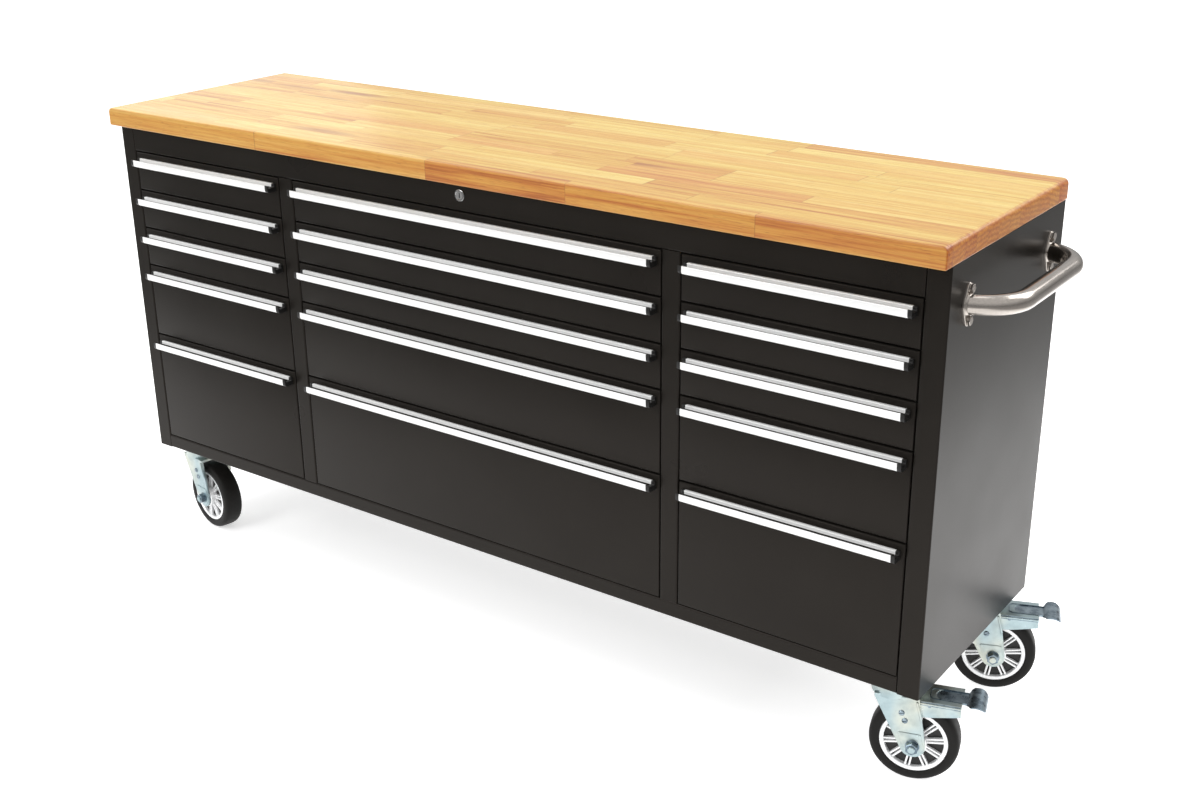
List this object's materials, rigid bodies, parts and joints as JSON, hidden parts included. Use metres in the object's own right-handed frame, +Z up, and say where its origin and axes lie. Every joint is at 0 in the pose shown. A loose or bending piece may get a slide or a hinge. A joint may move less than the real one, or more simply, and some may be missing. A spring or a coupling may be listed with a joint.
{
  "type": "mobile workbench with drawers",
  "caption": "Wood-topped steel workbench on swivel castors, with columns of drawers on ball-bearing slides, a central lock and a push handle.",
  "frame": {"origin": "centre of the footprint's bounding box, on the floor", "axes": "+X along the bench to the handle end, +Y to the back, +Z up"},
  "size_m": [1.9124, 0.501, 0.945],
  "materials": {
    "worktop_wood": "satin lacquered butcher block of edge-glued staves",
    "black_powder_coat": "semi-gloss powder coat",
    "galvanised_steel": "zinc-plated sheet steel",
    "zinc_fasteners": "zinc-plated",
    "anodised_aluminium": "satin anodised extrusion",
    "chrome_lock": "bright chrome plate",
    "brushed_stainless": "brushed stainless steel",
    "castor_zinc": "bluish bright zinc plate",
    "castor_tyre": "moulded rubber",
    "castor_rim": "bright moulded rim"
  },
  "bodies": {
    "bench": {"back_panel": "black_powder_coat", "bottom_pan": "black_powder_coat", "castor_plates": "castor_zinc", "column_dividers": "black_powder_coat", "hex_bolts": "zinc_fasteners", "left_side_panel": "black_powder_coat", "lock_housing": "chrome_lock", "right_side_panel": "black_powder_coat", "side_handle": "brushed_stainless", "slide_posts": "galvanised_steel", "slide_rails": "galvanised_steel", "top_rail": "black_powder_coat", "worktop": "worktop_wood", "worktop_screws": "zinc_fasteners"},
    "lock_barrel": {"lock_barrel": "chrome_lock"},
    "lock_bars": {"lock_bars": "galvanised_steel"},
    "drawer_left_1": {"drawer_left_1": "black_powder_coat", "pull_left_1": "anodised_aluminium"},
    "drawer_left_2": {"drawer_left_2": "black_powder_coat", "pull_left_2": "anodised_aluminium"},
    "drawer_left_3": {"drawer_left_3": "black_powder_coat", "pull_left_3": "anodised_aluminium"},
    "drawer_left_4": {"drawer_left_4": "black_powder_coat", "pull_left_4": "anodised_aluminium"},
    "drawer_left_5": {"drawer_left_5": "black_powder_coat", "pull_left_5": "anodised_aluminium"},
    "drawer_centre_1": {"drawer_centre_1": "black_powder_coat", "pull_centre_1": "anodised_aluminium"},
    "drawer_centre_2": {"drawer_centre_2": "black_powder_coat", "pull_centre_2": "anodised_aluminium"},
    "drawer_centre_3": {"drawer_centre_3": "black_powder_coat", "pull_centre_3": "anodised_aluminium"},
    "drawer_centre_4": {"drawer_centre_4": "black_powder_coat", "pull_centre_4": "anodised_aluminium"},
    "drawer_centre_5": {"drawer_centre_5": "black_powder_coat", "pull_centre_5": "anodised_aluminium"},
    "drawer_right_1": {"drawer_right_1": "black_powder_coat", "pull_right_1": "anodised_aluminium"},
    "drawer_right_2": {"drawer_right_2": "black_powder_coat", "pull_right_2": "anodised_aluminium"},
    "drawer_right_3": {"drawer_right_3": "black_powder_coat", "pull_right_3": "anodised_aluminium"},
    "drawer_right_4": {"drawer_right_4": "black_powder_coat", "pull_right_4": "anodised_aluminium"},
    "drawer_right_5": {"drawer_right_5": "black_powder_coat", "pull_right_5": "anodised_aluminium"},
    "fork_front_left": {"castor_fork_front_left": "castor_zinc"},
    "wheel_front_left": {"castor_tyre_front_left": "castor_tyre", "castor_rim_front_left": "castor_rim"},
    "fork_rear_left": {"castor_fork_rear_left": "castor_zinc"},
    "wheel_rear_left": {"castor_tyre_rear_left": "castor_tyre", "castor_rim_rear_left": "castor_rim"},
    "fork_front_right": {"castor_fork_front_right": "castor_zinc"},
    "wheel_front_right": {"castor_tyre_front_right": "castor_tyre", "castor_rim_front_right": "castor_rim"},
    "brake_front_right": {"brake_pedal_front_right": "castor_zinc"},
    "fork_rear_right": {"castor_fork_rear_right": "castor_zinc"},
    "wheel_rear_right": {"castor_tyre_rear_right": "castor_tyre", "castor_rim_rear_right": "castor_rim"},
    "brake_rear_right": {"brake_pedal_rear_right": "castor_zinc"}
  },
  "joints": [
    {"name": "slide_left_1", "type": "slide", "parent": "bench", "child": "drawer_left_1", "axis": [0, -1, 0], "range_m": [0, 0.3]},
    {"name": "slide_left_2", "type": "slide", "parent": "bench", "child": "drawer_left_2", "axis": [0, -1, 0], "range_m": [0, 0.3]},
    {"name": "slide_left_3", "type": "slide", "parent": "bench", "child": "drawer_left_3", "axis": [0, -1, 0], "range_m": [0, 0.3]},
    {"name": "slide_left_4", "type": "slide", "parent": "bench", "child": "drawer_left_4", "axis": [0, -1, 0], "range_m": [0, 0.3]},
    {"name": "slide_left_5", "type": "slide", "parent": "bench", "child": "drawer_left_5", "axis": [0, -1, 0], "range_m": [0, 0.3]},
    {"name": "slide_centre_1", "type": "slide", "parent": "bench", "child": "drawer_centre_1", "axis": [0, -1, 0], "range_m": [0, 0.3]},
    {"name": "slide_centre_2", "type": "slide", "parent": "bench", "child": "drawer_centre_2", "axis": [0, -1, 0], "range_m": [0, 0.3]},
    {"name": "slide_centre_3", "type": "slide", "parent": "bench", "child": "drawer_centre_3", "axis": [0, -1, 0], "range_m": [0, 0.3]},
    {"name": "slide_centre_4", "type": "slide", "parent": "bench", "child": "drawer_centre_4", "axis": [0, -1, 0], "range_m": [0, 0.3]},
    {"name": "slide_centre_5", "type": "slide", "parent": "bench", "child": "drawer_centre_5", "axis": [0, -1, 0], "range_m": [0, 0.3]},
    {"name": "slide_right_1", "type": "slide", "parent": "bench", "child": "drawer_right_1", "axis": [0, -1, 0], "range_m": [0, 0.3]},
    {"name": "slide_right_2", "type": "slide", "parent": "bench", "child": "drawer_right_2", "axis": [0, -1, 0], "range_m": [0, 0.3]},
    {"name": "slide_right_3", "type": "slide", "parent": "bench", "child": "drawer_right_3", "axis": [0, -1, 0], "range_m": [0, 0.3]},
    {"name": "slide_right_4", "type": "slide", "parent": "bench", "child": "drawer_right_4", "axis": [0, -1, 0], "range_m": [0, 0.3]},
    {"name": "slide_right_5", "type": "slide", "parent": "bench", "child": "drawer_right_5", "axis": [0, -1, 0], "range_m": [0, 0.3]},
    {"name": "lock_turn", "type": "hinge", "parent": "bench", "child": "lock_barrel", "pos_m": [-0.0412, -0.22519, 0.885], "axis": [0, -1, 0], "range_deg": [0, 90]},
    {"name": "lock_bars_lift", "type": "slide", "parent": "bench", "child": "lock_bars", "axis": [0, 0, 1], "range_m": [0, 0.01]},
    {"name": "swivel_front_left", "type": "hinge", "parent": "bench", "child": "fork_front_left", "pos_m": [-0.8867, -0.16519, 0.178], "axis": [0, 0, 1], "continuous": true},
    {"name": "wheel_spin_front_left", "type": "hinge", "parent": "fork_front_left", "child": "wheel_front_left", "pos_m": [-0.84731, -0.17214, 0.075], "axis": [0.1736, 0.9848, 0], "continuous": true},
    {"name": "swivel_rear_left", "type": "hinge", "parent": "bench", "child": "fork_rear_left", "pos_m": [-0.8867, 0.17081, 0.178], "axis": [0, 0, 1], "continuous": true},
    {"name": "wheel_spin_rear_left", "type": "hinge", "parent": "fork_rear_left", "child": "wheel_rear_left", "pos_m": [-0.84731, 0.16386, 0.075], "axis": [0.1736, 0.9848, 0], "continuous": true},
    {"name": "swivel_front_right", "type": "hinge", "parent": "bench", "child": "fork_front_right", "pos_m": [0.8043, -0.16519, 0.178], "axis": [0, 0, 1], "continuous": true},
    {"name": "wheel_spin_front_right", "type": "hinge", "parent": "fork_front_right", "child": "wheel_front_right", "pos_m": [0.84255, -0.1535, 0.075], "axis": [-0.2924, 0.9563, 0], "continuous": true},
    {"name": "brake_press_front_right", "type": "hinge", "parent": "fork_front_right", "child": "brake_front_right", "pos_m": [0.86359, -0.14707, 0.153], "axis": [-0.2924, 0.9563, 0], "range_deg": [0, 10]},
    {"name": "swivel_rear_right", "type": "hinge", "parent": "bench", "child": "fork_rear_right", "pos_m": [0.8043, 0.17081, 0.178], "axis": [0, 0, 1], "continuous": true},
    {"name": "wheel_spin_rear_right", "type": "hinge", "parent": "fork_rear_right", "child": "wheel_rear_right", "pos_m": [0.84164, 0.18514, 0.075], "axis": [-0.3584, 0.9336, 0], "continuous": true},
    {"name": "brake_press_rear_right", "type": "hinge", "parent": "fork_rear_right", "child": "brake_rear_right", "pos_m": [0.86218, 0.19303, 0.153], "axis": [-0.3584, 0.9336, 0], "range_deg": [0, 10]}
  ],
  "couplings": [
    {"joint": "lock_turn", "follows": "lock_bars_lift", "rad_per_m": 157.08}
  ]
}
